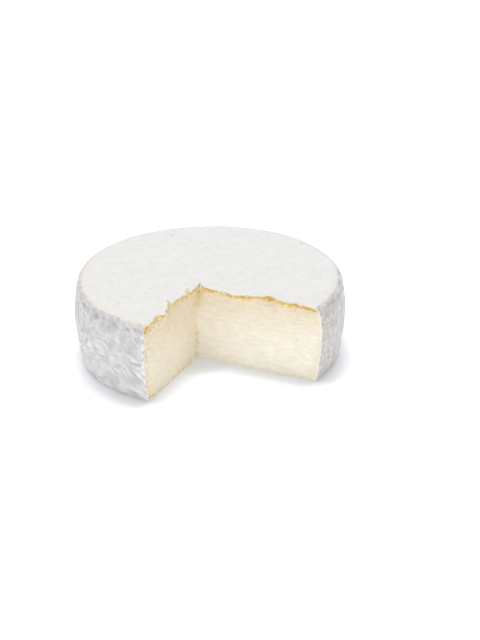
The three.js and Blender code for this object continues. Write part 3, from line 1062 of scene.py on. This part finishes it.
class Lumps:
    """Small closed lumps, which are joined into one piece."""

    ball, triangles = round_lump()

    def __init__(self, seed):
        self.random = np.random.default_rng(seed)
        self.points = []
        self.faces = []

    def add(self, centre, half_sizes, axis=(0, 0, 1)):
        """A lump whose third size lies along the axis."""
        dents = noise(*(self.ball * 1.1 + self.random.uniform(0, 90, 3)).T)
        points = self.ball * (1 + 0.55 * dents[:, None]) * half_sizes
        turn = Vector(axis).to_track_quat("Z", "Y").to_matrix()
        self.faces.append(self.triangles + len(self.ball) * len(self.points))
        self.points.append(points @ np.array(turn).T + centre)

    def add_row(self, wall, start, end, low, high, count, smallest, largest):
        """Lumps along a line on a wall, sunk into it by a third or a little more."""
        for share in self.random.uniform(0, 1, count):
            size = smallest + (largest - smallest) * self.random.uniform() ** 2
            stray = self.random.normal(0, 0.35, 2)
            along = max(0.3, start + share * (end - start) + stray[0])
            z = np.clip(low + share * (high - low) + stray[1], 0.8 * size, WHEEL_HEIGHT - 0.4)
            centre = wall.spot(along, z, 0.1 * size)
            half_sizes = 0.5 * size * self.random.uniform(0.6, 1.1, 3)
            self.add(centre, half_sizes, self.random.normal(0, 1, 3))

    def build(self, name, material, slot):
        obj = new_mesh(name, np.concatenate(self.points), np.concatenate(self.faces))
        obj.data.materials.append(material)
        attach(obj, BODY)


def on_top_behind_left_wall(along, behind):
    x = SEAM[0] + LEFT_WALL.run[0] * along - behind * LEFT_WALL.facing[0]
    y = SEAM[1] + LEFT_WALL.run[1] * along - behind * LEFT_WALL.facing[1]
    return np.array([x, y, top_height(x, y)])


def build_crumbs():
    golden, pale, flakes = Lumps(3), Lumps(4), Lumps(5)
    for lumps, rows in ((golden, GOLDEN_ROWS), (pale, PASTE_ROWS), (flakes, FLAKE_ROWS)):
        for row in rows:
            lumps.add_row(*row)
    for *ends, half_width in SLIVERS:
        start, end = (on_top_behind_left_wall(*place) for place in ends)
        half_length = 0.3 * np.linalg.norm(end - start)
        for share, size in ((0.25, 1), (0.7, 0.6)):
            half_sizes = (size * half_width, SLIVER_HALF_HEIGHT, half_length)
            golden.add(start + share * (end - start), half_sizes, end - start)
    for lumps, (along, z, proud, half_width, half_length) in (
        (golden, SEAM_FILLING),
        (flakes, SPIKE),
    ):
        lumps.add(LEFT_WALL.spot(along, z, proud), (half_width, half_width, half_length))
    golden.build("golden_crumbs", plain_material("golden_crumb", CRUMB, CRUMB_DEEP), "paste")
    pale.build("paste_crumbs", plain_material("paste_crumb", PASTE, PASTE_RIPE), "paste")
    flakes.build("rind_flakes", plain_material("rind_flake", EDGE_WHITE, WHITE_SHADE), "rind")


# ---- Stage, light and camera ----
CAMERA_AZIMUTH = 25.4
CAMERA_ELEVATION = 25.9
CAMERA_DISTANCE = 650
CAMERA_AIM = (18.0, -3.8, 18.9)
CAMERA_LENS = 77.0
CAMERA_NEAR = 10  # nothing nearer to the camera is drawn
FLOOR_HALF = 12000
FLOOR_COLOUR = (0.55, 0.57, 0.595, 1)
FLOOR_GLOW = 0.8  # the floor glows like a lit table, and a shadow is painted into its glow near what stands on it
FLOOR_GLOW_IN_PAINTED_SHADOW = 0.24
FLOOR_PAINTED_SHADOW_REACH = 19  # how far that painted shadow reaches, and which way the light comes from
FLOOR_LIT_AZIMUTH = -140
FLOOR_LIT_ELEVATION = 55

# The sky's radiance at the horizon and overhead, and a broad glow from the camera's side
SKY_LOW = 0.38
SKY_HIGH = 0.78
GLOW = 0.46
GLOW_AZIMUTH = 15
GLOW_ELEVATION = 2
GLOW_TIGHTNESS = 3
# A large soft lamp from behind
LAMP_AZIMUTH = -155
LAMP_ELEVATION = 64
LAMP_WIDTH = 40  # degrees across
LAMP_POWER = 1.05


def view_direction(azimuth, elevation):
    """The way to a viewer from the cheese; at azimuth 0 the viewer is at its front, towards -Y."""
    a, e = np.radians(azimuth), np.radians(elevation)
    return Vector((np.sin(a) * np.cos(e), -np.cos(a) * np.cos(e), np.sin(e)))


def add_facing(name, data, direction):
    """A camera or lamp that stands in that direction and faces back along it."""
    obj = bpy.data.objects.new(name, data)
    obj.rotation_euler = direction.to_track_quat("Z", "Y").to_euler()
    bpy.context.scene.collection.objects.link(obj)
    return obj


def add_camera():
    direction = view_direction(CAMERA_AZIMUTH, CAMERA_ELEVATION)
    camera = add_facing("camera", bpy.data.cameras.new("camera"), direction)
    camera.location = (Vector(CAMERA_AIM) + CAMERA_DISTANCE * direction) * MM
    camera.data.lens = CAMERA_LENS
    camera.data.clip_start = CAMERA_NEAR * MM
    bpy.context.scene.camera = camera


def add_lamp():
    direction = view_direction(LAMP_AZIMUTH, LAMP_ELEVATION)
    lamp = add_facing("soft_lamp", bpy.data.lights.new("soft_lamp", "SUN"), direction)
    lamp.data.angle = np.radians(LAMP_WIDTH)
    lamp.data.energy = LAMP_POWER


def add_sky():
    world = bpy.data.worlds.new("soft_white")
    world.use_nodes = True
    n = Nodes(world.node_tree)
    background = n.tree.nodes["Background"]
    place = n.tree.nodes.new("ShaderNodeTexCoord").outputs["Generated"]

    def facing(direction):
        """Cosine of the angle from a direction, 0 where it is negative."""
        node = n.tree.nodes.new("ShaderNodeVectorMath")
        node.operation = "DOT_PRODUCT"
        n.link(place, node.inputs[0])
        node.inputs[1].default_value = direction
        return n.math("MAXIMUM", node.outputs["Value"], 0.0)

    overhead = n.math("MULTIPLY", facing((0, 0, 1)), SKY_HIGH - SKY_LOW)
    glow = facing(view_direction(GLOW_AZIMUTH, GLOW_ELEVATION))
    glow = n.math("MULTIPLY", n.math("POWER", glow, GLOW_TIGHTNESS), GLOW)
    total = n.math("ADD", n.math("ADD", overhead, glow), SKY_LOW)
    n.link(total, background.inputs["Strength"])
    background.inputs["Color"].default_value = (1, 1, 1, 1)
    bpy.context.scene.world = world


def add_floor():
    h = FLOOR_HALF
    floor = new_mesh(
        "floor",
        [(-h, -h, 0), (h, -h, 0), (h, h, 0), (-h, h, 0)],
        [(0, 1, 2), (0, 2, 3)],
        smooth=False,
    )
    n = MaterialNodes("white_floor")
    n.shader.inputs["Base Color"].default_value = FLOOR_COLOUR
    n.shader.inputs["Roughness"].default_value = 1
    n.shader.inputs["Emission Color"].default_value = (1, 1, 1, 1)
    towards_light = n.tree.nodes.new("ShaderNodeCombineXYZ")
    direction = view_direction(FLOOR_LIT_AZIMUTH, FLOOR_LIT_ELEVATION)
    for socket, value in zip(towards_light.inputs, direction):
        socket.default_value = value
    # A painted shadow: the glow dims where the cheese is near, looking towards the light
    near = n.tree.nodes.new("ShaderNodeAmbientOcclusion")
    near.inputs["Distance"].default_value = FLOOR_PAINTED_SHADOW_REACH * MM
    n.link(towards_light.outputs[0], near.inputs["Normal"])
    glow = n.ramp(near.outputs["AO"], 0.3, 1.0, FLOOR_GLOW_IN_PAINTED_SHADOW, FLOOR_GLOW)
    n.link(glow, n.shader.inputs["Emission Strength"])
    floor.data.materials.append(n.material)


def add_stage():
    add_floor()
    add_sky()
    add_lamp()
    view = bpy.context.scene.view_settings
    view.view_transform = "Standard"
    view.look = "None"


add_camera()
add_stage()
cheese = build_cheese(rind_material(), paste_material())
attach(cheese, BODY)
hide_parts(CAD_NODE)
build_crumbs()


def plain(box):
    return [[float(v) for v in corner] for corner in box]
